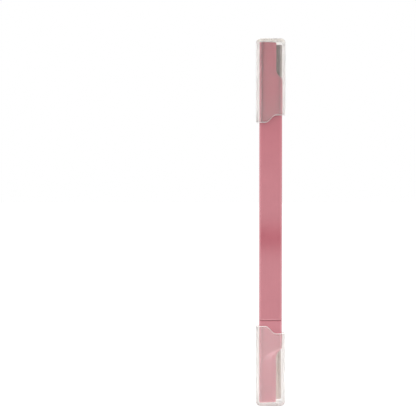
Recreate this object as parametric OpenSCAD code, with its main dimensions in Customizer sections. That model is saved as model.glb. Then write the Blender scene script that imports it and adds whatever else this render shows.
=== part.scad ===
// Double-ended eyebrow razor, standing on its lower cap with both clear caps on.
// +Z runs up the razor, -Y is the face with the seam near the lower cap, and the cutting edges face +X.
// The origin is the middle of the lower cap's end face.

/* [Handle] */
// Length of the razor without its caps
body_length = 147.4; // [130:0.1:165]
// Width of the handle
handle_width = 9.3; // [8.6:0.1:11]
// Thickness of the handle, both mouldings together
handle_thick = 4.6; // [4:0.1:6]
// Radius that rounds the handle's long edges
edge_radius = 1.1; // [0.6:0.05:1.6]
// Distance from each cap's mouth to the seam across the handle
seam_clear = 2.2; // [0.5:0.1:6]
// Gap between the two mouldings at each seam
seam_gap = 0.1; // [0.1:0.05:0.5]
// Radius on the end of each moulding's plate
plate_end_radius = 0.3; // [0.2:0.05:0.8]
// Bevel on both mouldings along the parting line
parting_bevel = 0.15; // [0.05:0.05:0.4]

/* [Heads] */
// Width by which each head is narrower than the handle, to bare its blade
blade_step = 2.3; // [1.8:0.1:3]
// Distance from the upper tip to where the short blade's neck starts to widen
short_neck_start = 11.3; // [8:0.1:14]
// Length of the curve from the upper head to the full width
short_neck_length = 4.4; // [3.5:0.1:8]
// Distance from the lower tip to where the long blade's neck starts to widen
long_neck_start = 15.8; // [12:0.1:17.5]
// Length of the curve from the lower head to the full width
long_neck_length = 7.2; // [6:0.1:9]
// Radius of the upper tip's corner on the spine side
short_tip_radius = 0.5; // [0.3:0.05:1.5]
// Radius of the lower tip's corner on the spine side
long_tip_radius = 0.85; // [0.3:0.05:1.5]
// Radius of each tip's corner beside the blade
jaw_tip_radius = 0.4; // [0.2:0.05:0.8]
// Radius that rounds each tip towards the broad faces
tip_face_radius = 0.5; // [0.2:0.05:1.2]
// How much shorter a tip is beside the blade than at the spine
tip_slant = 0.2; // [0:0.05:0.8]
// Depth to which each broad face of a head is dished
dish_depth = 0.4; // [0.1:0.05:0.6]
// Radius of the arc where the dish starts
dish_radius = 8.8; // [8:0.1:12]
// Width of the slope from the handle's face down to the dish's floor
dish_slope_width = 4; // [1:0.1:6]
// Distance from the top of the neck to the top of the dish
dish_drop = 0.9; // [0:0.1:2]
// Width of the bevel beside the blade on the dished face
jaw_bevel_width = 1.45; // [0.8:0.05:2.2]
// Depth of the bevel beside the blade
jaw_bevel_depth = 0.55; // [0.2:0.05:0.9]

/* [Blades] */
// Thickness of both blades
blade_thick = 0.3; // [0.2:0.05:0.5]
// Length of the short blade
short_blade_length = 15; // [13.8:0.1:18]
// How far the short blade's edge lies inside the handle's side
short_edge_inset = 0.05; // [0.02:0.01:0.6]
// Radius of the short blade's outer tip corner
short_blade_radius = 0.45; // [0.2:0.05:1]
// Length of the long blade
long_blade_length = 21.2; // [20:0.1:26]
// How far the long blade's edge lies inside the handle's side
long_edge_inset = 0.4; // [0.02:0.01:0.8]
// Radius of the long blade's outer tip corner
long_blade_radius = 0.8; // [0.2:0.05:1.2]
// Distance from a head's tip to the end of its blade
blade_tip_gap = 1.15; // [0.8:0.05:2]
// Angle by which each cutting edge leans out towards its tip, in degrees
blade_lean = 0.7; // [0:0.1:1]
// Width of the ground bevel along the cutting edge
grind_width = 0.5; // [0.2:0.05:1]
// Thickness left at the cutting edge
edge_land = 0.04; // [0.02:0.01:0.1]
// Depth of the blade that is held inside the head
tang_depth = 3.9; // [3:0.1:5]
// Radius of the two holes in each tang
tang_hole_radius = 0.9; // [0.5:0.05:1.2]
// Distance from a tang's back edge to the middle of its holes
tang_hole_inset = 1.9; // [1.5:0.05:2.4]
// Distance from each end of a blade to the middle of its nearer hole
tang_hole_end = 4.2; // [2.5:0.1:6]
// Bevel across the outer corner of each blade's buried end
heel_bevel = 1.2; // [0.6:0.05:2]
// Gap between a blade and the plastic moulded round it
insert_gap = 0.02; // [0.01:0.01:0.05]

/* [Locating pins] */
// Number of pins that join the two mouldings
pin_count = 4; // [2:1:6]
// Radius of each pin
pin_radius = 1.1; // [0.6:0.05:1.6]
// Height of each pin above its plate
pin_height = 1.5; // [0.8:0.1:1.6]
// Gap round and beyond each pin in its socket
pin_clear = 0.05; // [0.02:0.01:0.15]
// Distance from each seam to the nearest pin
pin_inset = 8; // [4:0.5:14]

/* [Caps] */
// Length of the upper cap along its spine side
upper_cap_length = 34.2; // [28:0.1:40]
// Length of the lower cap along its spine side
lower_cap_length = 32.8; // [29:0.1:40]
// Wall thickness round the sides of both caps
cap_wall = 1.2; // [0.8:0.05:1.5]
// Wall thickness at the closed end of both caps
cap_end_wall = 1.2; // [0.8:0.05:2]
// Gap between a cap and the handle all round
cap_clear = 0.1; // [0.05:0.01:0.2]
// Gap between a head's tip and the cap's closed end
seat_gap = 0.1; // [0.05:0.01:0.3]
// Radius of the closed end's corners seen on the broad face
cap_corner_radius = 1.65; // [1.55:0.05:3]
// Radius that rounds the closed end towards the broad faces
cap_face_radius = 1.1; // [0.5:0.05:2]
// How much shorter a cap is on its blade side
mouth_drop = 3; // [1:0.1:4]
// Width of the mouth's S-curve
mouth_curve_width = 4.3; // [2:0.1:7]
// Distance of the S-curve's middle from the cap's middle, towards the spine
mouth_curve_offset = 0.05; // [0:0.05:1]
// Radius of the grip bumps inside each mouth
bump_radius = 0.6; // [0.4:0.05:0.65]
// Distance from the mouth's short side to the grip bumps
bump_inset = 2.2; // [1:0.1:5]

/* [Hidden] */

$fn = 48;
// Steps in a quarter-round corner and in an S-curve
arc_steps = 8;
curve_steps = 16;
// Overrun that carries a cut past the surface it opens
overrun = 1;

lower_tip = cap_end_wall + seat_gap;
upper_tip = lower_tip + body_length;
total_height = upper_tip + seat_gap + cap_end_wall;

// Each seam's distance from its own tip
lower_seam = lower_cap_length + seam_clear - lower_tip;
upper_seam = upper_cap_length + seam_clear - lower_tip;

// The head's blade-side edge and the level of its dished face
jaw_x = handle_width / 2 - blade_step;
dish_floor = handle_thick / 2 - dish_depth;

// How far each blade stands out of its head
short_blade_reach = blade_step - short_edge_inset;
long_blade_reach = blade_step - long_edge_inset;

cap_width = handle_width + 2 * (cap_clear + cap_wall);
cap_thick = handle_thick + 2 * (cap_clear + cap_wall);
cavity_width = handle_width + 2 * cap_clear;
cavity_thick = handle_thick + 2 * cap_clear;
cavity_radius = edge_radius + cap_clear;
// A grip bump stops half the clearance short of the handle
bump_rise = cap_clear / 2;

// Share of the way along an S-curve, from 0 to 1, flat at both ends
function ease(share) = (1 - cos(180 * share)) / 2;

function arc(center, radius, start, end) =
    [for (i = [0:arc_steps])
        let (angle = start + (end - start) * i / arc_steps)
        center + radius * [cos(angle), sin(angle)]];

// Closed outline of a rectangle with its four corners rounded, centred on the origin
function rounded_section(width, thick, radius) =
    let (x = width / 2 - radius, y = thick / 2 - radius)
    concat(
        arc([x, y], radius, 0, 90),
        arc([-x, y], radius, 90, 180),
        arc([-x, -y], radius, 180, 270),
        arc([x, -y], radius, 270, 360));

// Extrudes an outline drawn in X and Z along Y, to both sides of the middle plane
module along_y(depth) {
    rotate([90, 0, 0]) linear_extrude(depth, center = true) children();
}

// Extrudes an outline drawn in Y and Z along X, to both sides of the middle plane
module along_x(width) {
    rotate([90, 0, 90]) linear_extrude(width, center = true) children();
}

// Turns the lower end's construction over to make the upper end, with the blades kept on +X
module upper_end(height) {
    translate([0, 0, height]) rotate([180, 0, 0]) children();
}

// X of the blade side's outline at a height above the tip
function neck_x(z, start, length) =
    let (share = max(0, min(1, (z - start) / length)))
    jaw_x + (handle_width / 2 - jaw_x) * ease(share);

// Front outline of a moulding: spine, rounded tip, jaw beside the blade, and the neck's S-curve
function front_outline(top, neck_start, neck_length, tip_radius) = concat(
    [[-handle_width / 2, top]],
    arc([-handle_width / 2 + tip_radius, tip_radius], tip_radius, 180, 270),
    arc([jaw_x - jaw_tip_radius, tip_slant + jaw_tip_radius], jaw_tip_radius, 270, 360),
    [for (i = [0:curve_steps])
        let (z = neck_start + neck_length * i / curve_steps)
        [neck_x(z, neck_start, neck_length), z]],
    [[handle_width / 2, top]]);

// Side outline of a moulding: rounded tip, and the rounded end of the plate on its +Y side
function side_outline(top) =
    let (y = handle_thick / 2)
    concat(
        [[-y, top]],
        arc([-y + tip_face_radius, tip_face_radius], tip_face_radius, 180, 270),
        arc([y - tip_face_radius, tip_face_radius], tip_face_radius, 270, 360),
        arc([y - plate_end_radius, top - plate_end_radius], plate_end_radius, 0, 90));

// Clears the half of a moulding where the other one's plate lies, and bevels the parting line
module plate_clearance(shoulder, top) {
    inner_x = handle_width / 2 - parting_bevel;
    outer_x = handle_width / 2 + overrun;
    far_y = handle_thick / 2 + overrun;
    translate([0, 0, shoulder])
        linear_extrude(top - shoulder + overrun)
            polygon([[-outer_x, -far_y], [outer_x, -far_y], [outer_x, outer_x - inner_x],
                [inner_x, 0], [-inner_x, 0], [-outer_x, outer_x - inner_x]]);
}

// Depth profile of the dish, measured inwards from the arc where it starts
function dish_profile(reach) = concat(
    [for (i = [0:arc_steps])
        let (share = i / arc_steps)
        [reach - dish_slope_width * share, -dish_depth * (1 - pow(1 - share, 2))]],
    [[0, -dish_depth], [0, overrun], [reach, overrun]]);

// Dish in the +Y face: a round end below the neck, carried straight on past the tip
module face_dish(dish_top) {
    center_z = dish_top - dish_radius;
    translate([handle_width / 2, handle_thick / 2, center_z]) {
        rotate([-90, 0, 0]) rotate_extrude() polygon(dish_profile(dish_radius));
        translate([0, 0, -center_z - overrun])
            linear_extrude(center_z + overrun)
                mirror([1, 0]) polygon(dish_profile(dish_radius));
    }
}

// Bevel beside the blade on the +Y face. Its wedge moves out along the neck and lifts off the face there.
module jaw_bevel(neck_start, neck_length) {
    slope = jaw_bevel_depth / jaw_bevel_width;
    far_y = handle_thick / 2 + overrun;
    run_x = jaw_x - jaw_bevel_width - (far_y - dish_floor) / slope;
    low_y = dish_floor - slope * (jaw_bevel_width + overrun);
    wedge = [[run_x, far_y], [jaw_x + overrun, low_y], [jaw_x + overrun, far_y]];
    lift = jaw_bevel_depth + dish_depth;
    heights = concat([-overrun], [for (i = [0:curve_steps]) neck_start + neck_length * i / curve_steps]);
    rings = len(heights);
    points = [for (z = heights)
        let (shift = neck_x(z, neck_start, neck_length) - jaw_x,
            share = max(0, min(1, (z - neck_start) / neck_length)))
        for (corner = wedge)
            [corner[0] + shift, corner[1] + lift * ease(share), z]];
    sides = [for (ring = [0:rings - 2], k = [0:2])
        let (a = ring * 3 + k, b = ring * 3 + (k + 1) % 3)
        [b, a, a + 3, b + 3]];
    polyhedron(points, concat([[0, 1, 2]], sides, [[rings * 3 - 1, rings * 3 - 2, rings * 3 - 3]]));
}

// Draws its children on the +Y face and again, turned over, on the -Y face
module both_faces() {
    children();
    mirror([0, 1, 0]) children();
}

// One handle moulding: head with its tip at the origin, and the plate on its +Y side
module handle_moulding(seam, top, neck_start, neck_length, tip_radius) {
    shoulder = seam - seam_gap / 2;
    difference() {
        intersection() {
            linear_extrude(top) polygon(rounded_section(handle_width, handle_thick, edge_radius));
            along_y(handle_thick + overrun)
                polygon(front_outline(top, neck_start, neck_length, tip_radius));
            along_x(handle_width + overrun) polygon(side_outline(top));
        }
        plate_clearance(shoulder, top);
        both_faces() {
            face_dish(neck_start + neck_length - dish_drop);
            jaw_bevel(neck_start, neck_length);
        }
    }
}

// Outline of a blade: outer tip corner at the origin, cutting edge along +Z, tang towards -X
function blade_outline(length, reach, radius, grow) =
    let (back = -(reach + tang_depth + grow))
    concat(
        [[back, -grow]],
        arc([grow - radius, radius - grow], radius, 270, 360),
        [[grow, length - heel_bevel], [-heel_bevel, length + grow], [back, length + grow]]);

// Places a blade's construction at the outer tip corner of its cutting edge, leaning with it
module at_blade(reach) {
    translate([jaw_x + reach, 0, blade_tip_gap]) rotate([0, -blade_lean, 0]) children();
}

// The two places along a blade where its tang is pierced
module at_tang_holes(length, reach) {
    for (z = [tang_hole_end, length - tang_hole_end])
        translate([-(reach + tang_depth) + tang_hole_inset, 0, z]) rotate([90, 0, 0]) children();
}

// Blade blank with its ground edge and pierced tang
module blade(length, reach, radius) {
    back = -(reach + tang_depth);
    difference() {
        intersection() {
            along_y(blade_thick + overrun) polygon(blade_outline(length, reach, radius, 0));
            linear_extrude(length)
                polygon([[back, -blade_thick / 2], [-grind_width, -blade_thick / 2], [0, -edge_land / 2],
                    [0, edge_land / 2], [-grind_width, blade_thick / 2], [back, blade_thick / 2]]);
        }
        at_tang_holes(length, reach)
            cylinder(h = blade_thick + overrun, r = tang_hole_radius, center = true);
    }
}

// Slot that the plastic leaves round a blade
module blade_slot(length, reach, radius) {
    along_y(blade_thick + 2 * insert_gap) polygon(blade_outline(length, reach, radius, insert_gap));
}

// Studs of plastic that fill the tang's holes and join both sides of the slot
module tang_studs(length, reach) {
    at_tang_holes(length, reach)
        cylinder(h = 2 * blade_thick, r = tang_hole_radius - insert_gap, center = true);
}

// Handle moulding with its blade's slot and studs
module bladed_moulding(seam, top, neck_start, neck_length, tip_radius, length, reach, radius) {
    difference() {
        handle_moulding(seam, top, neck_start, neck_length, tip_radius);
        at_blade(reach) blade_slot(length, reach, radius);
    }
    at_blade(reach) tang_studs(length, reach);
}

// Pins or sockets on the parting plane, spread evenly between the seams
module locating_pins(radius, height) {
    first = lower_tip + lower_seam + pin_inset;
    last = upper_tip - upper_seam - pin_inset;
    for (i = [0:pin_count - 1])
        translate([0, height / 2 - overrun / 2, first + (last - first) * i / (pin_count - 1)])
            rotate([90, 0, 0]) cylinder(h = height + overrun, r = radius, center = true);
}

// Front outline of a cap: rounded closed end at the bottom and the S-shaped mouth at the top
function cap_outline(length) =
    let (x = cap_width / 2, corner = cap_corner_radius, start_x = -mouth_curve_offset - mouth_curve_width / 2)
    concat(
        arc([-x + corner, corner], corner, 180, 270),
        arc([x - corner, corner], corner, 270, 360),
        [[x, length - mouth_drop]],
        [for (i = [0:curve_steps])
            let (share = 1 - i / curve_steps)
            [start_x + mouth_curve_width * share, length - mouth_drop * ease(share)]],
        [[-x, length]]);

// Side outline of a cap, with its closed end rounded towards both broad faces
function cap_side_outline(length) =
    let (y = cap_thick / 2)
    concat(
        [[-y, length]],
        arc([-y + cap_face_radius, cap_face_radius], cap_face_radius, 180, 270),
        arc([y - cap_face_radius, cap_face_radius], cap_face_radius, 270, 360),
        [[y, length]]);

// Hollow of a cap, its lower corners following the outside
function cavity_outline(length) =
    let (x = cavity_width / 2, corner = cap_corner_radius - cap_wall)
    concat(
        [[-x, length + overrun]],
        arc([-x + corner, cap_end_wall + corner], corner, 180, 270),
        arc([x - corner, cap_end_wall + corner], corner, 270, 360),
        [[x, length + overrun]]);

// One clear cap, closed end at the origin
module cap(length) {
    color([0.95, 0.93, 0.92, 0.4])
    difference() {
        intersection() {
            linear_extrude(length) polygon(rounded_section(cap_width, cap_thick, cavity_radius + cap_wall));
            along_y(cap_thick + overrun) polygon(cap_outline(length));
            along_x(cap_width + overrun) polygon(cap_side_outline(length));
        }
        difference() {
            intersection() {
                linear_extrude(length + overrun)
                    polygon(rounded_section(cavity_width, cavity_thick, cavity_radius));
                along_y(cap_thick) polygon(cavity_outline(length));
            }
            both_faces()
                translate([0, cavity_thick / 2 + bump_radius - bump_rise, length - mouth_drop - bump_inset])
                    sphere(bump_radius);
        }
    }
}

module lower_cap() {
    cap(lower_cap_length);
}

module upper_cap() {
    upper_end(total_height) cap(upper_cap_length);
}

module lower_handle_half() {
    color([0.78, 0.51, 0.54])
    difference() {
        translate([0, 0, lower_tip])
            bladed_moulding(lower_seam, body_length - upper_seam - seam_gap / 2, long_neck_start,
                long_neck_length, long_tip_radius, long_blade_length, long_blade_reach, long_blade_radius);
        locating_pins(pin_radius + pin_clear, pin_height + pin_clear);
    }
}

module upper_handle_half() {
    color([0.8, 0.53, 0.56]) {
        upper_end(upper_tip)
            bladed_moulding(upper_seam, body_length - lower_seam - seam_gap / 2, short_neck_start,
                short_neck_length, short_tip_radius, short_blade_length, short_blade_reach,
                short_blade_radius);
        locating_pins(pin_radius, pin_height);
    }
}

module long_blade() {
    color([0.75, 0.74, 0.73])
    translate([0, 0, lower_tip])
        at_blade(long_blade_reach) blade(long_blade_length, long_blade_reach, long_blade_radius);
}

module short_blade() {
    color([0.7, 0.7, 0.7])
    upper_end(upper_tip)
        at_blade(short_blade_reach) blade(short_blade_length, short_blade_reach, short_blade_radius);
}

lower_cap();
upper_cap();
lower_handle_half();
upper_handle_half();
long_blade();
short_blade();
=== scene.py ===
"""Double-ended eyebrow razor in its two clear caps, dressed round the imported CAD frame.

Lengths of the pieces are in millimetres, as in the part's source, and become metres in mesh_piece.
+Z runs up the razor, -Y is the photographed face, and the cutting edges face +X.
"""

import math

import bpy
import numpy as np
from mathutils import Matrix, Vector


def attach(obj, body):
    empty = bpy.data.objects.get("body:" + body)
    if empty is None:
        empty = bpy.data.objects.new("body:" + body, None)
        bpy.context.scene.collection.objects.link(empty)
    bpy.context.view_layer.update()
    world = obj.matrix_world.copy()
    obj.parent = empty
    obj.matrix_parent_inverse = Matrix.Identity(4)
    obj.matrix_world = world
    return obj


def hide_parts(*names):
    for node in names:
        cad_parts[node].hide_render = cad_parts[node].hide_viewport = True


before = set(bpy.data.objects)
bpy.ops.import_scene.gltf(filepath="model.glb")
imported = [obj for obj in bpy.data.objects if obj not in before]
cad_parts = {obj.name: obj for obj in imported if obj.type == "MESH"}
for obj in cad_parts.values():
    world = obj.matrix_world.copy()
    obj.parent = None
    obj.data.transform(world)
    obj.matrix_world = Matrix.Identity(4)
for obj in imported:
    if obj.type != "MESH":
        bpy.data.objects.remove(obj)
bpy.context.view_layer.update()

MM = 0.001

# The part's own sizes that the surfaces follow
BODY_LENGTH = 147.4
HANDLE_WIDTH = 9.3
HANDLE_THICK = 4.6
EDGE_RADIUS = 1.1
SEAM_GAP = 0.1
PARTING_BEVEL = 0.15
LONG_TIP_RADIUS = 0.85
SHORT_TIP_RADIUS = 0.5
JAW_TIP_RADIUS = 0.4
TIP_FACE_RADIUS = 0.5
TIP_SLANT = 0.2
DISH_DEPTH = 0.4
DISH_RADIUS = 8.8
DISH_SLOPE_WIDTH = 4.0
DISH_DROP = 0.9
JAW_BEVEL_WIDTH = 1.45
JAW_BEVEL_DEPTH = 0.55
LOWER_CAP_LENGTH = 32.8
UPPER_CAP_LENGTH = 34.2
CAP_WALL = 1.2
CAP_END_WALL = 1.2
CAP_CLEAR = 0.1
CAP_CORNER_RADIUS = 1.65
CAP_FACE_RADIUS = 1.1
MOUTH_DROP = 3.0
MOUTH_CURVE_WIDTH = 4.3
MOUTH_CURVE_OFFSET = 0.05
BUMP_INSET = 2.2
LOWER_TIP = 1.3
UPPER_TIP = LOWER_TIP + BODY_LENGTH
TOTAL_HEIGHT = 150.0
LOWER_SEAM = 33.7
UPPER_SEAM = 35.1
BLADE_TIP_GAP = 1.15
BLADE_LEAN = math.tan(math.radians(0.7))
LONG_EDGE_X = 4.25
SHORT_EDGE_X = 4.6

# Forms of the dressed pieces that are finer than in the source, or drawn closer to the photograph
JAW_X = 2.22
JAW_EDGE_RADIUS = 0.22
CREASE_BLEND = 0.07
SHOULDER_RADIUS = 0.05
PARTING_FACE = 0.01
PLATE_EASE_LENGTH = 0.2
PLATE_EASE_DEPTH = 0.03
PLATE_TIP_RADIUS = 0.18
CAVITY_CORNER_RADIUS = 0.3
CAVITY_EDGE_RADIUS = 0.65
RIM_OUTER_RADIUS = 0.2
RIM_INNER_RADIUS = 0.15
BUMP_RISE = 0.08
BUMP_REACH = 0.6
LONG_GROUND_WIDTH = 0.5
SHORT_GROUND_WIDTH = 0.8


def ease(share):
    """Share of the way along an S-curve: (1 - cos(180 degrees x share)) / 2, kept at 0 and 1 past its ends."""
    return (1 - np.cos(np.pi * np.clip(share, 0, 1))) / 2


def soft_min(first, second):
    """The lesser of two surfaces with their crease rounded: (a + b - sqrt((a - b)^2 + CREASE_BLEND^2)) / 2."""
    return (first + second - np.sqrt((first - second) ** 2 + CREASE_BLEND ** 2)) / 2


def ring_normals(ring):
    """Outward normals of closed counter-clockwise rings of X and Y, from each point's two neighbours."""
    step = np.roll(ring, -1, axis=-2) - np.roll(ring, 1, axis=-2)
    normal = np.stack([step[..., 1], -step[..., 0]], axis=-1)
    return normal / np.maximum(np.linalg.norm(normal, axis=-1, keepdims=True), 1e-9)


def stack_rings(rings):
    """One array, ring x point x XYZ, from a list of (XY points, heights) pairs."""
    return np.stack([np.column_stack([xy, np.broadcast_to(z, len(xy))]) for xy, z in rings])


def turned_over(rings, height):
    """The rings turned half round the X axis and lifted: (x, -y, height - z)."""
    return rings * [1, -1, -1] + [0, 0, height]


def mesh_piece(name, rings, body, node, materials, zones=None):
    """Closed skin through rings of points in millimetres, which rides a body and replaces a CAD node.

    Neighbouring rings are joined point to point by quads, and the first and last ring close on their middle
    points. Zones gives each quad's place in the list of materials, ring by ring.
    """
    count, around = rings.shape[:2]
    points = np.concatenate([rings.reshape(-1, 3), [rings[0].mean(0)], [rings[-1].mean(0)]]) * MM
    ring, at = np.meshgrid(np.arange(count - 1), np.arange(around), indexing="ij")
    here, beside = ring * around + at, ring * around + (at + 1) % around
    quads = np.stack([here, beside, beside + around, here + around], axis=-1).reshape(-1, 4)
    edge = np.arange(around)
    after = (edge + 1) % around
    last = (count - 1) * around
    first_fan = np.column_stack([after, edge, np.full(around, count * around)])
    last_fan = np.column_stack([last + edge, last + after, np.full(around, count * around + 1)])
    mesh = bpy.data.meshes.new(name)
    mesh.from_pydata(points.tolist(), [], quads.tolist() + first_fan.tolist() + last_fan.tolist())
    mesh.shade_smooth()
    for material in materials:
        mesh.materials.append(material)
    if zones is not None:
        places = np.concatenate([zones.ravel(), zones[0], zones[-1]]).astype(np.int32)
        mesh.polygons.foreach_set("material_index", places)
    piece = bpy.data.objects.new(name, mesh)
    bpy.context.scene.collection.objects.link(piece)
    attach(piece, body)
    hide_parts(node)


# Handle mouldings

PLATE_X = HANDLE_WIDTH / 2
FLAT_X = PLATE_X - EDGE_RADIUS
HALF_THICK = HANDLE_THICK / 2
SIDE_Y = HALF_THICK - EDGE_RADIUS
DISH_FLOOR = HALF_THICK - DISH_DEPTH

# A neck is its start above the tip, its length, and the power that gathers its S-curve towards its far end
LONG_NECK = (15.8, 7.2, 2.4)
SHORT_NECK = (11.3, 4.4, 1.3)

# Where a section's points lie: shares of the side walls, angles of the edge arcs, shares of the face
WALL_SHARES = np.array([0, 0.0625, 0.125, 0.3, 0.6, 0.9])
ARC = np.linspace(0, np.pi / 2, 9)
FACE_SHARES = np.linspace(0, 1, 61)[1:-1]

# Where a head's rings lie: the first above the tip, their step, and how far past the dish's arc they go
HEAD_START = 1.2
HEAD_STEP = 0.2
HEAD_BEYOND = 1.6
# The plain handle's, from the dish's arc up and from the shoulder down
PLAIN_START = 2.2
PLAIN_END = 0.5
# The plate's, from the shoulder up, and down from where PLATE_EASE_LENGTH is left to its top
PARTING_STEP = 0.05
PLATE_START = 0.3
PLATE_END = 0.2


def neck_share(z, neck):
    """How far the outline has come from the jaw's to the full width: ease(((z - start) / length) ^ power)."""
    start, length, power = neck
    return ease(np.clip((z - start) / length, 0, 1) ** power)


def dish_top(neck):
    """Height of the dish's arc above the tip."""
    return neck[0] + neck[1] - DISH_DROP


def face_height(x, z, neck):
    """Half thickness of a head at X and Z.

    It is the lesser of two surfaces. One is the handle's face with its dish, DISH_DEPTH (1 - (1 - s)^2) deep,
    where s goes from 0 at the arc to 1 at its slope's foot. The other is the bevel beside the blade, a plane
    that moves out and lifts off along the neck's S-curve.
    """
    reach = np.hypot(x - PLATE_X, np.maximum(z - (dish_top(neck) - DISH_RADIUS), 0))
    share = np.clip((DISH_RADIUS - reach) / DISH_SLOPE_WIDTH, 0, 1)
    dished = HALF_THICK - DISH_DEPTH * (1 - (1 - share) ** 2)
    along = neck_share(z, neck)
    shift = (PLATE_X - JAW_X) * along
    lift = (JAW_BEVEL_DEPTH + DISH_DEPTH) * along
    slope = JAW_BEVEL_DEPTH / JAW_BEVEL_WIDTH
    bevel = DISH_FLOOR + lift - slope * (x - shift - JAW_X + JAW_BEVEL_WIDTH)
    return soft_min(dished, bevel)


def half_contour(z, neck):
    """One half of a moulding's section, Y above zero, from the blade side round to the spine.

    It runs along the blade-side wall, an edge arc whose radius grows from the jaw's to the handle's, the
    face, and the spine's arc and wall.
    """
    widening = neck_share(z, neck)
    right_x = JAW_X + (PLATE_X - JAW_X) * widening
    radius = JAW_EDGE_RADIUS + (EDGE_RADIUS - JAW_EDGE_RADIUS) * widening
    arc_x = right_x - radius
    side_y = face_height(arc_x, z, neck) - radius
    face_x = arc_x + (-FLAT_X - arc_x) * FACE_SHARES
    spine_x = -FLAT_X - EDGE_RADIUS * np.sin(ARC)
    spine_y = np.minimum(SIDE_Y + EDGE_RADIUS * np.cos(ARC), face_height(spine_x, z, neck))
    x = np.concatenate([
        np.full(len(WALL_SHARES), right_x),
        arc_x + radius * np.cos(ARC),
        face_x,
        spine_x,
        np.full(len(WALL_SHARES), -PLATE_X)])
    y = np.concatenate([
        WALL_SHARES * side_y,
        side_y + radius * np.sin(ARC),
        face_height(face_x, z, neck),
        spine_y,
        WALL_SHARES[::-1] * SIDE_Y])
    return np.column_stack([x, y])


def full_contour(z, neck):
    """Whole section, counter-clockwise from the middle of the blade side: a half contour and its mirror."""
    half = half_contour(z, neck)
    return np.concatenate([half, half[-2:0:-1] * [1, -1]])


def moulding_rings(seam, top, neck, spine_tip_radius):
    """Rings of a handle moulding: rounded tip, head, neck, shoulder, plate on the +Y side and plate's end.

    An end is rounded by drawing its ring in along the normals by R (1 - sin a) as it moves by R (1 - cos a).
    """
    tip = full_contour(0.0, neck)
    normal = ring_normals(tip)
    radius = (spine_tip_radius * np.maximum(-normal[:, 0], 0) ** 2
              + JAW_TIP_RADIUS * np.maximum(normal[:, 0], 0) ** 2 + TIP_FACE_RADIUS * normal[:, 1] ** 2)
    slant = TIP_SLANT * np.clip((tip[:, 0] + FLAT_X) / (JAW_X + FLAT_X), 0, 1)
    rings = []
    for angle in np.linspace(0, np.pi / 2, 9):
        inset = radius * (1 - np.sin(angle))
        rings.append((tip - normal * inset[:, None], slant + radius * (1 - np.cos(angle))))
    for z in np.arange(HEAD_START, dish_top(neck) + HEAD_BEYOND, HEAD_STEP):
        rings.append((full_contour(z, neck), z))
    shoulder = seam - SEAM_GAP / 2
    plain = full_contour(seam, neck)
    for z in np.linspace(dish_top(neck) + PLAIN_START, shoulder - PLAIN_END, 5):
        rings.append((plain, z))

    # The half with Y below zero ends at the shoulder, and its points then run across the parting face
    normal = ring_normals(plain)
    front = plain[:, 1] < -1e-6
    for angle in np.linspace(0, np.pi / 2, 5):
        inset = SHOULDER_RADIUS * (1 - np.cos(angle)) * front
        rings.append((plain - normal * inset[:, None], shoulder - SHOULDER_RADIUS * (1 - np.sin(angle))))
    plate = plain.copy()
    plate[:, 1] = np.maximum(plate[:, 1], PARTING_FACE)
    bevel = np.maximum(PARTING_BEVEL - plate[:, 1], 0)
    plate[:, 0] -= np.sign(plate[:, 0]) * bevel * ~front
    plate[front, 0] = np.linspace(-1, 1, front.sum() + 2)[1:-1] * (PLATE_X - PARTING_BEVEL)
    rings.append((plate, np.where(front, shoulder, shoulder + PARTING_STEP)))
    for z in np.linspace(shoulder + PLATE_START, top - PLATE_EASE_LENGTH - PLATE_END, 9):
        rings.append((plate, z))

    # The plate's outer face slopes down a little towards its end
    normal = ring_normals(plate)
    eased = normal * PLATE_EASE_DEPTH * normal[:, 1:].clip(0, 1) ** 2
    for share in (0, 0.3, 0.65):
        rings.append((plate - eased * share, top - PLATE_TIP_RADIUS - PLATE_EASE_LENGTH * (1 - share)))
    for angle in np.linspace(np.pi / 2, 0, 5):
        inset = PLATE_TIP_RADIUS * (1 - np.sin(angle))
        rings.append((plate - eased - normal * inset, top - PLATE_TIP_RADIUS * (1 - np.cos(angle))))
    return stack_rings(rings)


# Clear caps

# Zones of a cap, in the order of its list of materials
FACES, SIDES, END, RIM, MARGINS = range(5)
# A quad is on a side where its normal's X part is over SIDE_TURN, and otherwise in a margin beyond MARGIN_X
SIDE_TURN = 0.55
MARGIN_X = 3.3
# Rows of quads across a bump, and how far above and below it the hollow's plain rings keep
BUMP_ROWS = 14
ABOVE_BUMP = 0.05
BELOW_BUMP = 0.3
# Heights of the next plain rings above the cap's end, and of the lowest two above the arc round its floor
HOLLOW_RINGS = (20.0, 12.0, 5.0)
FLOOR_RINGS = (0.4, 0.1)


def cap_section(wall, radius):
    """Section of a cap and its normals, counter-clockwise from the middle of +X: a rectangle, round cornered.

    It lies a wall's thickness outside the hollow's flat sides. Points lie closer together across the middle
    of each broad face, where the grip bumps are.
    """
    straight_x = PLATE_X + CAP_CLEAR + wall - radius
    straight_y = HALF_THICK + CAP_CLEAR + wall - radius
    arc = np.linspace(0, np.pi / 2, 13)
    bump = np.linspace(-BUMP_REACH, BUMP_REACH, 13)
    beyond = np.linspace(BUMP_REACH, straight_x, 22)[1:-1]
    face_x = np.concatenate([beyond[::-1], -bump, -beyond])
    side_y = np.linspace(-straight_y, straight_y, 9)[1:-1]

    def corner(middle_x, middle_y, start):
        angle = arc + start
        return np.column_stack([middle_x + radius * np.cos(angle), middle_y + radius * np.sin(angle)])

    def face(y, x):
        return np.column_stack([x, np.full(len(x), y)])

    def side(x, y):
        return np.column_stack([np.full(len(y), x), y])

    half_width, half_thick = straight_x + radius, straight_y + radius
    ring = np.concatenate([
        side(half_width, side_y[side_y >= 0]),
        corner(straight_x, straight_y, 0),
        face(half_thick, face_x),
        corner(-straight_x, straight_y, np.pi / 2),
        side(-half_width, -side_y),
        corner(-straight_x, -straight_y, np.pi),
        face(-half_thick, -face_x),
        corner(straight_x, -straight_y, 3 * np.pi / 2),
        side(half_width, side_y[side_y < 0])])
    return ring, ring_normals(ring)


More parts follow.
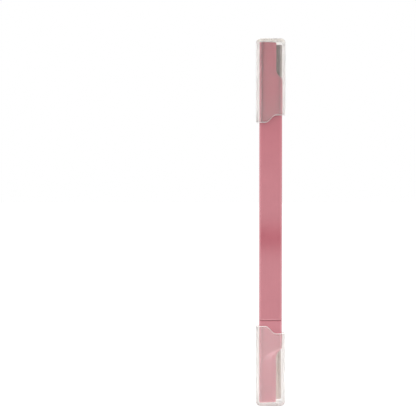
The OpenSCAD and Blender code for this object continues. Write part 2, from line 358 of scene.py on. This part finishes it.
def cap_rings(length):
    """Rings of a cap: closed end, outer wall, rim, inner wall with its grip bumps, and the hollow's floor.

    The mouth's height is length - MOUTH_DROP x ease((x - start) / width), an S-curve down to the blade side.
    The outer end's radius goes round the section from the corners' to the faces' with the squares of the
    normal's parts. A bump stands BUMP_RISE cos(90 degrees x s)^2 proud, where s goes from 0 at its middle
    to 1 at its rim. Each quad's zone comes with the rings. The hollow's floor is among the sides, and the
    bumps are among the margins.
    """
    ring, normal = cap_section(CAP_WALL, EDGE_RADIUS + CAP_CLEAR + CAP_WALL)
    inner, inner_normal = cap_section(0, CAVITY_EDGE_RADIUS)
    end_radius = CAP_CORNER_RADIUS * normal[:, 0] ** 2 + CAP_FACE_RADIUS * normal[:, 1] ** 2
    start_x = -MOUTH_CURVE_OFFSET - MOUTH_CURVE_WIDTH / 2

    def mouth(points):
        return length - MOUTH_DROP * ease((points[:, 0] - start_x) / MOUTH_CURVE_WIDTH)

    def drawn_in(depth):
        return ring - normal * np.broadcast_to(depth, len(ring))[:, None]

    rings = []
    for scale in (0.3, 0.65, 0.97):
        rings.append((drawn_in(end_radius) * scale, 0.0))
    for angle in np.linspace(0, np.pi / 2, 11):
        rings.append((drawn_in(end_radius * (1 - np.sin(angle))), end_radius * (1 - np.cos(angle))))
    wall_start = len(rings)
    top = mouth(ring) - RIM_OUTER_RADIUS
    for share in (0.004, 0.02, 0.2, 0.5, 0.8, 0.97, 0.995):
        rings.append((ring, end_radius + (top - end_radius) * share))
    rim_start = len(rings)
    for angle in np.linspace(0, np.pi / 2, 9):
        points = drawn_in(RIM_OUTER_RADIUS * (1 - np.cos(angle)))
        rings.append((points, mouth(points) - RIM_OUTER_RADIUS * (1 - np.sin(angle))))
    for angle in np.linspace(np.pi / 2, 0, 7):
        points = inner + inner_normal * RIM_INNER_RADIUS * (1 - np.cos(angle))
        rings.append((points, mouth(points) - RIM_INNER_RADIUS * (1 - np.sin(angle))))
    rim_end = len(rings)
    bump_z = length - MOUTH_DROP - BUMP_INSET
    high = mouth(inner) - RIM_INNER_RADIUS
    low = bump_z + BUMP_REACH + ABOVE_BUMP
    for share in (0.02, 0.1, 0.4, 0.8):
        rings.append((inner, high + (low - high) * share))
    bump_start = len(rings)
    for z in np.linspace(bump_z + BUMP_REACH, bump_z - BUMP_REACH, BUMP_ROWS + 1):
        away = np.hypot(inner[:, 0], z - bump_z) / BUMP_REACH
        rise = BUMP_RISE * np.cos(np.clip(away, 0, 1) * np.pi / 2) ** 2 * normal[:, 1] ** 2
        rings.append((inner - normal * rise[:, None], z))
    floor_z = CAP_END_WALL + CAVITY_CORNER_RADIUS
    for z in (bump_z - BUMP_REACH - BELOW_BUMP, *HOLLOW_RINGS, *(floor_z + step for step in FLOOR_RINGS)):
        rings.append((inner, z))
    floor_start = len(rings)
    for angle in np.linspace(np.pi / 2, 0, 8):
        points = inner - inner_normal * CAVITY_CORNER_RADIUS * (1 - np.sin(angle))
        rings.append((points, floor_z - CAVITY_CORNER_RADIUS * np.cos(angle)))
    for scale in (0.97, 0.6, 0.3):
        rings.append(((inner - inner_normal * CAVITY_CORNER_RADIUS) * scale, CAP_END_WALL))

    zones = np.full((len(rings) - 1, len(ring)), FACES)
    out_x, turned = np.abs(ring[:, 0]), np.abs(normal[:, 0])
    zones[:, out_x + np.roll(out_x, -1) > 2 * MARGIN_X] = MARGINS
    across = (inner[:, 0] + np.roll(inner[:, 0], -1)) / 2
    along = ((np.arange(BUMP_ROWS) + 0.5) / BUMP_ROWS * 2 - 1) * BUMP_REACH
    zones[bump_start:bump_start + BUMP_ROWS][np.hypot(across, along[:, None]) < BUMP_REACH] = MARGINS
    zones[:, turned + np.roll(turned, -1) > 2 * SIDE_TURN] = SIDES
    zones[:wall_start - 1] = END
    zones[floor_start:] = SIDES
    zones[rim_start:rim_end - 1] = RIM
    return stack_rings(rings), zones


# Node helpers

FLOAT, COLOUR = "NodeSocketFloat", "NodeSocketColor"
# The range that most of a noise's values lie in
NOISE_LOW, NOISE_HIGH = 0.3, 0.7


def add_node(tree, kind, settings=None, **inputs):
    """Adds a node, sets its own settings, and fills its inputs with values or links.

    An input goes by its label, with underscores for spaces, or by an i and its number.
    """
    node = tree.nodes.new(kind)
    for key, value in (settings or {}).items():
        setattr(node, key, value)
    for key, value in inputs.items():
        numbered = key[0] == "i" and key[1:].isdigit()
        socket = node.inputs[int(key[1:]) if numbered else key.replace("_", " ")]
        if isinstance(value, bpy.types.NodeSocket):
            tree.links.new(value, socket)
        else:
            socket.default_value = value
    return node


def calc(tree, operation, *values):
    """Math node's result."""
    return add_node(tree, "ShaderNodeMath", {"operation": operation},
                    **{f"i{i}": value for i, value in enumerate(values)}).outputs[0]


def add(tree, *values):
    """Sum of values."""
    total = values[0]
    for value in values[1:]:
        total = calc(tree, "ADD", total, value)
    return total


def times(tree, *values):
    """Product of values."""
    total = values[0]
    for value in values[1:]:
        total = calc(tree, "MULTIPLY", total, value)
    return total


def minus(tree, first, second):
    """first - second."""
    return calc(tree, "SUBTRACT", first, second)


def blend(tree, share, first, second):
    """first (1 - share) + second share."""
    return add_node(tree, "ShaderNodeMix", {"data_type": "FLOAT"}, i0=share, i2=first, i3=second).outputs[0]


def mix_colour(tree, share, first, second):
    """Mix of two colours."""
    return add_node(tree, "ShaderNodeMix", {"data_type": "RGBA"}, i0=share, i6=first, i7=second).outputs[2]


def spread(tree, value, low, high, to_low, to_high):
    """Map Range from low..high to to_low..to_high, clamped."""
    return add_node(tree, "ShaderNodeMapRange", i0=value, i1=low, i2=high, i3=to_low, i4=to_high).outputs[0]


def object_place(tree):
    """Object coordinates."""
    return add_node(tree, "ShaderNodeTexCoord").outputs["Object"]


def split_axes(tree, vector):
    """A vector's X, Y and Z, by name."""
    return add_node(tree, "ShaderNodeSeparateXYZ", Vector=vector).outputs


def stretched(tree, vector, scale):
    """A vector scaled apart along the three axes."""
    return add_node(tree, "ShaderNodeMapping", Vector=vector, Scale=scale).outputs[0]


def noise(tree, vector, scale, detail, roughness=0.5):
    """Noise texture's value, about one half on average."""
    return add_node(tree, "ShaderNodeTexNoise", Vector=vector, Scale=scale, Detail=detail,
                    Roughness=roughness).outputs["Fac"]


def noise_between(tree, value, low, high):
    """A noise's value spread from low to high."""
    return spread(tree, value, NOISE_LOW, NOISE_HIGH, low, high)


def new_group(name, inputs, outputs):
    """Empty shader group with its sockets: inputs as (name, kind, default), outputs as (name, kind)."""
    group = bpy.data.node_groups.new(name, "ShaderNodeTree")
    for label, kind, default in inputs:
        socket = group.interface.new_socket(label, in_out="INPUT", socket_type=kind)
        socket.default_value = default
    for label, kind in outputs:
        group.interface.new_socket(label, in_out="OUTPUT", socket_type=kind)
    return group, group.nodes.new("NodeGroupInput").outputs, group.nodes.new("NodeGroupOutput").inputs


def place_group(tree, group, **inputs):
    """One use of a group, with its values."""
    return add_node(tree, "ShaderNodeGroup", {"node_tree": group}, **inputs).outputs


def new_material(name):
    """Material with an empty tree, its Principled shader and its output joined."""
    material = bpy.data.materials.new(name)
    material.use_nodes = True
    tree = material.node_tree
    tree.nodes.clear()
    shader = tree.nodes.new("ShaderNodeBsdfPrincipled")
    output = tree.nodes.new("ShaderNodeOutputMaterial")
    tree.links.new(shader.outputs[0], output.inputs["Surface"])
    return material, tree, shader


# Plastics and steel

# Height that a relief of one stands for
RELIEF_HEIGHT = 0.01 * MM
PINK_IOR = 1.54
CLEAR_IOR = 1.5
# Colour that the cap's plastic leaves after light has gone through it, and how strongly, a metre
CAP_BODY = (0.83, 0.79, 0.75, 1)
CAP_DENSITY = 25.0
# The long corners' haze: its roughness, and how far from the razor's middle it starts and is full
CORNER_HAZE = 0.14
HAZE_START = 3.4 * MM
HAZE_FULL = 4.6 * MM
# Width over which a blade's ground strip gives way to the blank, and the rounding of that step's foot
GROUND_STEP = 0.05 * MM
GROUND_SOFTNESS = 0.02
# Least and most roughness of brushed steel, and what the ground strip adds
STEEL_ROUGHNESS = (0.14, 0.22)
GROUND_ROUGHNESS = 0.1
# A noise's values between which a hair scratch comes up, and a scratched patch
HAIR_RANGE = (0.66, 0.76)
PATCH_RANGE = (0.45, 0.65)
# What a full mark of handling adds to a finish's roughness, and takes off the pink plastic's relief
PINK_MARK = 0.12
PINK_MARK_DEPTH = 0.2
CLEAR_MARK = 0.15
STEEL_MARK = 0.1


def moulded_skin_group():
    """Skin of an injection-moulded piece: cloudy colour, fine grain, and the tool's long polishing lines."""
    group, given, out = new_group(
        "moulded skin",
        [("Pale", COLOUR, (1, 1, 1, 1)), ("Deep", COLOUR, (0, 0, 0, 1)), ("Least Roughness", FLOAT, 0.1),
         ("Most Roughness", FLOAT, 0.2), ("Grain Height", FLOAT, 0.5), ("Wave Height", FLOAT, 0.5)],
        [("Colour", COLOUR), ("Roughness", FLOAT), ("Height", FLOAT)])
    where = object_place(group)
    cloud = noise(group, where, scale=170.0, detail=3.0)
    lines = noise(group, stretched(group, where, (1.0, 1.0, 0.06)), scale=1900.0, detail=2.0)
    grain = noise(group, where, scale=3600.0, detail=2.0)
    wave = noise(group, stretched(group, where, (1.0, 1.0, 0.35)), scale=260.0, detail=1.0)
    tone = add(group, times(group, cloud, 0.7), times(group, lines, 0.3))
    haze = add(group, times(group, lines, 0.6), times(group, cloud, 0.4))
    colour = mix_colour(group, noise_between(group, tone, 0.0, 1.0), given["Deep"], given["Pale"])
    roughness = noise_between(group, haze, given["Least Roughness"], given["Most Roughness"])
    height = add(group, times(group, grain, given["Grain Height"]), times(group, wave, given["Wave Height"]))
    group.links.new(colour, out["Colour"])
    group.links.new(roughness, out["Roughness"])
    group.links.new(height, out["Height"])
    return group


def handling_group():
    """Marks of handling: patches of hair scratches that run nearly along the razor, as a mask."""
    group, given, out = new_group(
        "handling marks", [("Amount", FLOAT, 0.5), ("Lean", FLOAT, 0.1)], [("Mask", FLOAT)])
    where = object_place(group)
    at = split_axes(group, where)
    leaned = add(group, at["X"], times(group, at["Z"], given["Lean"]))
    across = add_node(group, "ShaderNodeCombineXYZ", X=leaned, Y=at["Y"], Z=at["Z"]).outputs[0]
    fine = noise(group, stretched(group, across, (1.0, 1.0, 0.035)), scale=5200.0, detail=1.0)
    patches = noise(group, where, scale=120.0, detail=2.0)
    hair = spread(group, fine, *HAIR_RANGE, 0.0, 1.0)
    worn = spread(group, patches, *PATCH_RANGE, 0.0, 1.0)
    group.links.new(times(group, hair, worn, given["Amount"]), out["Mask"])
    return group


def brushing_group():
    """Rolled and brushed steel: fine lines along the blade, cloudy shade, and marks across the ground strip.

    The cutting edge lies at Edge X + Lean x Z. The strip's mask is 1 from there to Strip further in, where it
    falls to 0 over GROUND_STEP. Ground is the strip's colour.
    """
    group, given, out = new_group(
        "brushed steel",
        [("Pale", COLOUR, (1, 1, 1, 1)), ("Deep", COLOUR, (0, 0, 0, 1)), ("Ground", COLOUR, (1, 1, 1, 1)),
         ("Edge X", FLOAT, 0.004), ("Lean", FLOAT, 0.0), ("Strip", FLOAT, 0.0005)],
        [("Colour", COLOUR), ("Roughness", FLOAT), ("Height", FLOAT)])
    where = object_place(group)
    at = split_axes(group, where)
    edge = add(group, given["Edge X"], times(group, at["Z"], given["Lean"]))
    inside = minus(group, edge, at["X"])
    past_strip = times(group, minus(group, inside, given["Strip"]), 1 / GROUND_STEP)
    blank = calc(group, "SMOOTH_MAX", 0.0, calc(group, "MINIMUM", 1.0, past_strip), GROUND_SOFTNESS)
    ground = minus(group, 1.0, blank)
    lines = noise(group, stretched(group, where, (1.0, 1.0, 0.03)), scale=9000.0, detail=3.0, roughness=0.6)
    marks = noise(group, stretched(group, where, (0.05, 1.0, 1.0)), scale=16000.0, detail=2.0, roughness=0.6)
    cloud = noise(group, where, scale=330.0, detail=3.0)
    shade = add(group, times(group, lines, 0.6), times(group, cloud, 0.4))
    brushed = mix_colour(group, noise_between(group, shade, 0.0, 1.0), given["Deep"], given["Pale"])
    roughness = add(group, noise_between(group, lines, *STEEL_ROUGHNESS),
                    times(group, ground, GROUND_ROUGHNESS))
    group.links.new(mix_colour(group, ground, brushed, given["Ground"]), out["Colour"])
    group.links.new(roughness, out["Roughness"])
    group.links.new(blend(group, ground, lines, marks), out["Height"])
    return group


skin = moulded_skin_group()
handling = handling_group()
brushing = brushing_group()


def dress_shader(tree, shader, colour, roughness, height, strength):
    """Joins a surface's colour and roughness to the shader, and its height through a bump."""
    bump = add_node(tree, "ShaderNodeBump", Height=height, Strength=strength, Distance=RELIEF_HEIGHT)
    tree.links.new(colour, shader.inputs["Base Color"])
    tree.links.new(roughness, shader.inputs["Roughness"])
    tree.links.new(bump.outputs[0], shader.inputs["Normal"])


def pink_plastic(name, lean, pale, deep):
    """Opaque rose plastic with a polished skin."""
    material, tree, shader = new_material(name)
    surface = place_group(tree, skin, Pale=pale, Deep=deep, Least_Roughness=0.02, Most_Roughness=0.04,
                          Grain_Height=0.2, Wave_Height=0.6)
    marks = place_group(tree, handling, Amount=0.5, Lean=lean)["Mask"]
    roughness = add(tree, surface["Roughness"], times(tree, marks, PINK_MARK))
    height = minus(tree, surface["Height"], times(tree, marks, PINK_MARK_DEPTH))
    dress_shader(tree, shader, surface["Colour"], roughness, height, strength=0.1)
    shader.inputs["IOR"].default_value = PINK_IOR
    return material


def clear_plastic(name, lean, clearness, pale, deep, least_roughness, most_roughness):
    """Clear cap plastic: a warm tint that deepens with the way through it, and hazier long corners."""
    material, tree, shader = new_material(name)
    surface = place_group(tree, skin, Pale=pale, Deep=deep, Least_Roughness=least_roughness,
                          Most_Roughness=most_roughness, Grain_Height=0.2, Wave_Height=0.1)
    marks = place_group(tree, handling, Amount=0.6, Lean=lean)["Mask"]
    worn = add(tree, surface["Roughness"], times(tree, marks, CLEAR_MARK))
    out_x = calc(tree, "ABSOLUTE", split_axes(tree, object_place(tree))["X"])
    corner = spread(tree, out_x, HAZE_START, HAZE_FULL, 0.0, CORNER_HAZE)
    roughness = calc(tree, "MAXIMUM", worn, corner)
    dress_shader(tree, shader, surface["Colour"], roughness, surface["Height"], strength=0.1)
    depth = add_node(tree, "ShaderNodeVolumeAbsorption", Color=CAP_BODY, Density=CAP_DENSITY)
    tree.links.new(depth.outputs[0], tree.nodes["Material Output"].inputs["Volume"])
    shader.inputs["Transmission Weight"].default_value = clearness
    shader.inputs["IOR"].default_value = CLEAR_IOR
    return material


def blade_steel(name, edge_x, lean, strip, pale, deep, ground):
    """Brushed stainless blade whose ground strip runs beside the cutting edge."""
    material, tree, shader = new_material(name)
    surface = place_group(tree, brushing, Pale=pale, Deep=deep, Ground=ground, Edge_X=edge_x, Lean=lean,
                          Strip=strip)
    marks = place_group(tree, handling, Amount=0.4, Lean=0.3)["Mask"]
    roughness = add(tree, surface["Roughness"], times(tree, marks, STEEL_MARK))
    dress_shader(tree, shader, surface["Colour"], roughness, surface["Height"], strength=0.12)
    shader.inputs["Metallic"].default_value = 1.0
    return material


def cap_plastics(cap, lean, face_clearness, face_pale, face_deep, end_clearness, end_pale, end_deep):
    """The five materials of a cap, in the order of its zones: faces, sides, closed end, rim and margins."""
    return [
        clear_plastic(f"clear faces of the {cap} cap", lean, face_clearness, face_pale, face_deep,
                      least_roughness=0.05, most_roughness=0.08),
        clear_plastic(f"clear sides of the {cap} cap", lean, clearness=1.0,
                      pale=(0.99, 0.975, 0.955, 1), deep=(0.98, 0.965, 0.945, 1),
                      least_roughness=0.3, most_roughness=0.35),
        clear_plastic(f"hazy end of the {cap} cap", lean, end_clearness, end_pale, end_deep,
                      least_roughness=0.25, most_roughness=0.3),
        clear_plastic(f"satin rim of the {cap} cap", lean, clearness=0.5,
                      pale=(0.99, 0.98, 0.97, 1), deep=(0.97, 0.96, 0.95, 1),
                      least_roughness=0.3, most_roughness=0.4),
        clear_plastic(f"hazy margins of the {cap} cap", lean, clearness=0.935,
                      pale=(1.0, 0.99, 0.99, 1), deep=(0.985, 0.975, 0.975, 1),
                      least_roughness=0.05, most_roughness=0.08)]


lower_pink = pink_plastic(
    "rose plastic of the lower moulding", lean=0.08,
    pale=(0.452, 0.141, 0.171, 1), deep=(0.423, 0.13, 0.158, 1))
# Both mouldings are one rose plastic; the upper one's colour is a little darker, as painted shade over the
# handle's long face
upper_pink_painted_darker = pink_plastic(
    "rose plastic of the upper moulding with painted shade", lean=-0.06,
    pale=(0.433, 0.134, 0.161, 1), deep=(0.405, 0.123, 0.149, 1))
# The caps are one plastic; the lower cap's closed end is tinted much darker than the upper's, as painted shade
# against the table's light that its rounded end catches
lower_plastics = cap_plastics(
    "lower", lean=0.1,
    face_clearness=0.97, face_pale=(0.995, 0.967, 0.967, 1), face_deep=(0.975, 0.947, 0.947, 1),
    end_clearness=0.95, end_pale=(0.74, 0.655, 0.635, 1), end_deep=(0.71, 0.625, 0.605, 1))
upper_plastics = cap_plastics(
    "upper", lean=-0.12,
    face_clearness=0.965, face_pale=(0.985, 0.957, 0.952, 1), face_deep=(0.965, 0.937, 0.932, 1),
    end_clearness=0.9, end_pale=(1.0, 0.95, 0.88, 1), end_deep=(0.98, 0.93, 0.86, 1))
# Both blades are one grey steel: the brown warmth of both is a painted warm reflection, the short blade's
# darker colour is painted shade, and its paler ground strip is a painted highlight
long_steel_with_painted_reflection = blade_steel(
    "steel of the long blade", edge_x=(LONG_EDGE_X + BLADE_LEAN * (LOWER_TIP + BLADE_TIP_GAP)) * MM,
    lean=-BLADE_LEAN, strip=LONG_GROUND_WIDTH * MM,
    pale=(0.33, 0.26, 0.23, 1), deep=(0.27, 0.21, 0.185, 1), ground=(0.3, 0.245, 0.218, 1))
short_steel_with_painted_light = blade_steel(
    "steel of the short blade", edge_x=(SHORT_EDGE_X - BLADE_LEAN * (UPPER_TIP - BLADE_TIP_GAP)) * MM,
    lean=BLADE_LEAN, strip=SHORT_GROUND_WIDTH * MM,
    pale=(0.285, 0.238, 0.216, 1), deep=(0.227, 0.19, 0.169, 1), ground=(0.35, 0.3, 0.272, 1))


# The razor's pieces

def dress_node(node, material):
    """Gives a CAD node one material in all its slots."""
    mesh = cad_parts[node].data
    mesh.materials.clear()
    mesh.materials.append(material)


# A plate ends half a gap short of the other moulding's seam
lower_plate_top = BODY_LENGTH - UPPER_SEAM - SEAM_GAP / 2
rings = moulding_rings(LOWER_SEAM, lower_plate_top, LONG_NECK, LONG_TIP_RADIUS)
mesh_piece("lower_handle_moulding", rings + [0, 0, LOWER_TIP],
           "razor", "lower_handle_half", [lower_pink])
upper_plate_top = BODY_LENGTH - LOWER_SEAM - SEAM_GAP / 2
rings = moulding_rings(UPPER_SEAM, upper_plate_top, SHORT_NECK, SHORT_TIP_RADIUS)
mesh_piece("upper_handle_moulding", turned_over(rings, UPPER_TIP),
           "razor", "upper_handle_half", [upper_pink_painted_darker])
rings, zones = cap_rings(LOWER_CAP_LENGTH)
mesh_piece("lower_cap_shell", rings,
           "lower_cap", "lower_cap", lower_plastics, zones)
rings, zones = cap_rings(UPPER_CAP_LENGTH)
mesh_piece("upper_cap_shell", turned_over(rings, TOTAL_HEIGHT),
           "upper_cap", "upper_cap", upper_plastics, zones)
dress_node("long_blade", long_steel_with_painted_reflection)
dress_node("short_blade", short_steel_with_painted_light)


# Stage, light and camera

# Levels of the studio's lights, where white is 1
BOX_LOW, BOX_LEVEL = 0.3, 1.7
TABLE_LEVEL = 4.2
STRIP_LEVEL = 3.6
SIDES_LOW, SIDES_LEVEL = 1.3, 2.0
BACKDROP_LEVEL = 1.27
# Shares lost: by the box below its foot, by the gap's depth at the sides, and by the backdrop below its foot
BOX_FOOT_LOSS = 0.2
GAP_SIDES_LOSS = 0.6
BACKDROP_FOOT_LOSS = 0.4
# Levels that the backdrop loses in its middle and towards the right
BACKDROP_MIDDLE_LOSS = 0.27
BACKDROP_RIGHT_LOSS = 0.25
# Share of the front that is left where it shows straight through clear plastic
THROUGH_SHARE = 0.4
# Where the lights end: the rise in degrees at half strength, and the width of the fade. A light keeps below
# its rise where the width is above zero, and above its rise where the width is below zero
BOX_TOP, BOX_FOOT, BOX_MIRRORED_FOOT = (2.05, 1.5), (-9.6, 0.4), (-40.0, -3.0)
TABLE_TOP, TABLE_FOOT = (-38.0, 2.0), (-58.0, -3.0)
STRIP_TOP, STRIP_MIRRORED_FOOT = (-15.0, 1.5), (-35.0, -2.0)
HIGH_FOOT = (16.0, -3.0)
SIDES_TOP = (2.0, 1.2)
BACKDROP_FOOT = (-17.0, 1.5)
MIDDLE_REACH = (18.0, 4.0)
# The gap's rise and width in degrees, and the width of the backdrop's middle in the direction's X
GAP_RISE, GAP_WIDTH = -2.73, 0.66
MIDDLE_WIDTH = 0.3
# Turns between which the strip ends and the front gives way to the sides, and the direction's Y between which
# these give way to the backdrop
STRIP_TURN = (0.2, 0.5)
SIDES_TURN = (0.6, 0.95)
BEHIND_Y = (-0.1, 0.3)


def gaussian(tree, value, middle, width):
    """exp(-((value - middle) / width)^2)."""
    offset = calc(tree, "DIVIDE", minus(tree, value, middle), width)
    return calc(tree, "EXPONENT", times(tree, offset, offset, -1.0))


def logistic(tree, value, middle, width):
    """1 / (1 + exp((value - middle) / width)): from 1 below the middle to 0 above it. A -width reverses it."""
    power = calc(tree, "EXPONENT", calc(tree, "DIVIDE", minus(tree, value, middle), width))
    return calc(tree, "DIVIDE", 1.0, add(tree, 1.0, power))


def studio_world():
    """White to the camera. Other rays see the studio, by a direction's rise in degrees and turn to the side.

    In front are a soft box below 2 degrees, a lit strip straight ahead below -15, a table between -38 and
    -58, and a light above 16. Reflections show no table, and end the box at -40 and the strip at -35. At the
    sides is a brighter box. A thin dark gap crosses them at -2.7, and is fainter at the sides. Behind is a
    pale backdrop, brighter to the left. What shows of the front straight through clear plastic is dimmed.
    """
    world = bpy.data.worlds.new("studio")
    bpy.context.scene.world = world
    world.use_nodes = True
    tree = world.node_tree
    tree.nodes.clear()
    path = add_node(tree, "ShaderNodeLightPath").outputs
    at = split_axes(tree, add_node(tree, "ShaderNodeTexCoord").outputs["Generated"])
    rise = times(tree, calc(tree, "ARCSINE", at["Z"]), 180 / math.pi)
    level = calc(tree, "SQRT", minus(tree, 1.0, times(tree, at["Z"], at["Z"])))
    turn = calc(tree, "DIVIDE", calc(tree, "ABSOLUTE", at["X"]), level)
    aside = spread(tree, turn, *SIDES_TURN, 0.0, 1.0)
    behind = spread(tree, at["Y"], *BEHIND_Y, 0.0, 1.0)
    reflected = times(tree, path["Is Glossy Ray"], path["Is Reflection Ray"])

    def within(limit):
        return logistic(tree, rise, *limit)

    def in_reflections(share):
        """The share for reflections, and 1 for other rays."""
        return blend(tree, reflected, 1.0, share)

    def all_but(loss, where):
        """1 - loss x where."""
        return add(tree, 1.0, times(tree, -loss, where))

    box = add(tree, BOX_LOW, times(tree, BOX_LEVEL, all_but(BOX_FOOT_LOSS, within(BOX_FOOT)), within(BOX_TOP),
                                   in_reflections(within(BOX_MIRRORED_FOOT))))
    table = times(tree, TABLE_LEVEL, within(TABLE_TOP), within(TABLE_FOOT), in_reflections(0.0))
    strip = times(tree, STRIP_LEVEL, within(STRIP_TOP), spread(tree, turn, *STRIP_TURN, 1.0, 0.0),
                  in_reflections(within(STRIP_MIRRORED_FOOT)))
    high = within(HIGH_FOOT)
    ahead = add(tree, box, table, strip, high)
    sides = add(tree, SIDES_LOW, times(tree, SIDES_LEVEL, within(SIDES_TOP)), high)
    gap_depth = all_but(GAP_SIDES_LOSS, aside)
    gap = minus(tree, 1.0, times(tree, gap_depth, gaussian(tree, rise, GAP_RISE, GAP_WIDTH)))

    # A ray has come straight through if it was never scattered or reflected on its way
    turned_back = add(tree, path["Diffuse Depth"], path["Glossy Depth"])
    straight = times(tree, path["Is Transmission Ray"], calc(tree, "LESS_THAN", turned_back, 0.5))
    front = times(tree, blend(tree, straight, 1.0, THROUGH_SHARE), gap, blend(tree, aside, ahead, sides))

    middle = times(tree, gaussian(tree, at["X"], 0.0, MIDDLE_WIDTH),
                   logistic(tree, calc(tree, "ABSOLUTE", rise), *MIDDLE_REACH))
    backdrop = times(tree, all_but(BACKDROP_FOOT_LOSS, within(BACKDROP_FOOT)),
                     add(tree, BACKDROP_LEVEL, times(tree, -BACKDROP_MIDDLE_LOSS, middle),
                         times(tree, -BACKDROP_RIGHT_LOSS, at["X"])))
    strength = blend(tree, path["Is Camera Ray"], blend(tree, behind, front, backdrop), 1.0)
    background = add_node(tree, "ShaderNodeBackground", Color=(1, 1, 1, 1), Strength=strength)
    output = tree.nodes.new("ShaderNodeOutputWorld")
    tree.links.new(background.outputs[0], output.inputs["Surface"])


# The floor's reach and height in metres, its glow to the camera, and its paper's shade
FLOOR_REACH = 4.0
FLOOR_Z = -0.03 * MM
FLOOR_GLOW = 0.86
FLOOR_PAPER = (0.3, 0.3, 0.3, 1)
# Distances in metres over which other rays see the glow come up and go down again, and its most and least
GLOW_RISES = (0.008, 0.035)
GLOW_FALLS = (0.1, 0.6)
MOST_GLOW, LEAST_GLOW = 0.75, 0.45


def pale_floor():
    """White floor that keeps the razor's shadow. Gloss and clear plastic show the studio's own light instead.

    Scattered light sees no glow close round the razor's foot, a painted shadow there, most of it further out,
    and less far away.
    """
    material = bpy.data.materials.new("pale floor")
    material.use_nodes = True
    tree = material.node_tree
    tree.nodes.clear()
    path = add_node(tree, "ShaderNodeLightPath").outputs
    length = add_node(tree, "ShaderNodeVectorMath", {"operation": "LENGTH"}, i0=object_place(tree))
    distance = length.outputs["Value"]
    light = times(tree, spread(tree, distance, *GLOW_RISES, 0.0, 1.0),
                  spread(tree, distance, *GLOW_FALLS, MOST_GLOW, LEAST_GLOW))
    glow = add_node(tree, "ShaderNodeEmission", Color=(1, 1, 1, 1),
                    Strength=blend(tree, path["Is Camera Ray"], light, FLOOR_GLOW))
    paper = add_node(tree, "ShaderNodeBsdfDiffuse", Color=FLOOR_PAPER)
    clear = tree.nodes.new("ShaderNodeBsdfTransparent")
    lit = add_node(tree, "ShaderNodeAddShader", i0=glow.outputs[0], i1=paper.outputs[0])
    see_past = calc(tree, "MAXIMUM", path["Is Glossy Ray"], path["Is Transmission Ray"])
    mixed = add_node(tree, "ShaderNodeMixShader", i0=see_past, i1=lit.outputs[0], i2=clear.outputs[0])
    output = tree.nodes.new("ShaderNodeOutputMaterial")
    tree.links.new(mixed.outputs[0], output.inputs["Surface"])
    corners = [(x * FLOOR_REACH, y * FLOOR_REACH, FLOOR_Z) for x, y in ((-1, -1), (1, -1), (1, 1), (-1, 1))]
    mesh = bpy.data.meshes.new("floor")
    mesh.from_pydata(corners, [], [(0, 1, 2, 3)])
    mesh.materials.append(material)
    floor = bpy.data.objects.new("floor", mesh)
    bpy.context.scene.collection.objects.link(floor)


def soft_lamp(name, place, size, energy):
    """Square area lamp aimed at the middle of the razor."""
    light = bpy.data.lights.new(name, "AREA")
    light.shape = "SQUARE"
    light.size = size
    light.energy = energy
    lamp = bpy.data.objects.new(name, light)
    bpy.context.scene.collection.objects.link(lamp)
    lamp.location = place
    aim = Vector((0, 0, TOTAL_HEIGHT / 2 * MM)) - Vector(place)
    lamp.rotation_euler = aim.to_track_quat("-Z", "Y").to_euler()
    lamp.visible_glossy = False


# How far the camera stands off, how far it looks down, and the width and middle of what it takes in
CAMERA_DISTANCE = 520.0
CAMERA_PITCH = math.radians(1.4)
FRAME_WIDTH = 170.4
FRAME_CENTRE = Vector((-25.6, 0.0, 81.0))


def main_camera():
    """The photograph's view: square to the razor's face and a little from above, the razor to the right."""
    data = bpy.data.cameras.new("photo camera")
    data.sensor_width = 36.0
    data.lens = data.sensor_width * CAMERA_DISTANCE / FRAME_WIDTH
    data.clip_start = 0.01
    camera = bpy.data.objects.new("photo camera", data)
    bpy.context.scene.collection.objects.link(camera)
    back = Vector((0, -math.cos(CAMERA_PITCH), math.sin(CAMERA_PITCH)))
    camera.location = (FRAME_CENTRE + back * CAMERA_DISTANCE) * MM
    camera.rotation_euler = (math.pi / 2 - CAMERA_PITCH, 0, 0)
    bpy.context.scene.camera = camera


studio_world()
pale_floor()
soft_lamp("left soft lamp", place=(-0.55, -0.5, 0.55), size=0.5, energy=0.45)
soft_lamp("right soft lamp", place=(0.6, -0.35, 0.3), size=0.4, energy=0.2)
main_camera()
bpy.context.scene.view_settings.view_transform = "Standard"
# Light turns many times inside the clear walls
bpy.context.scene.cycles.glossy_bounces = 16
bpy.context.scene.cycles.transmission_bounces = 24
bpy.context.scene.cycles.max_bounces = 32
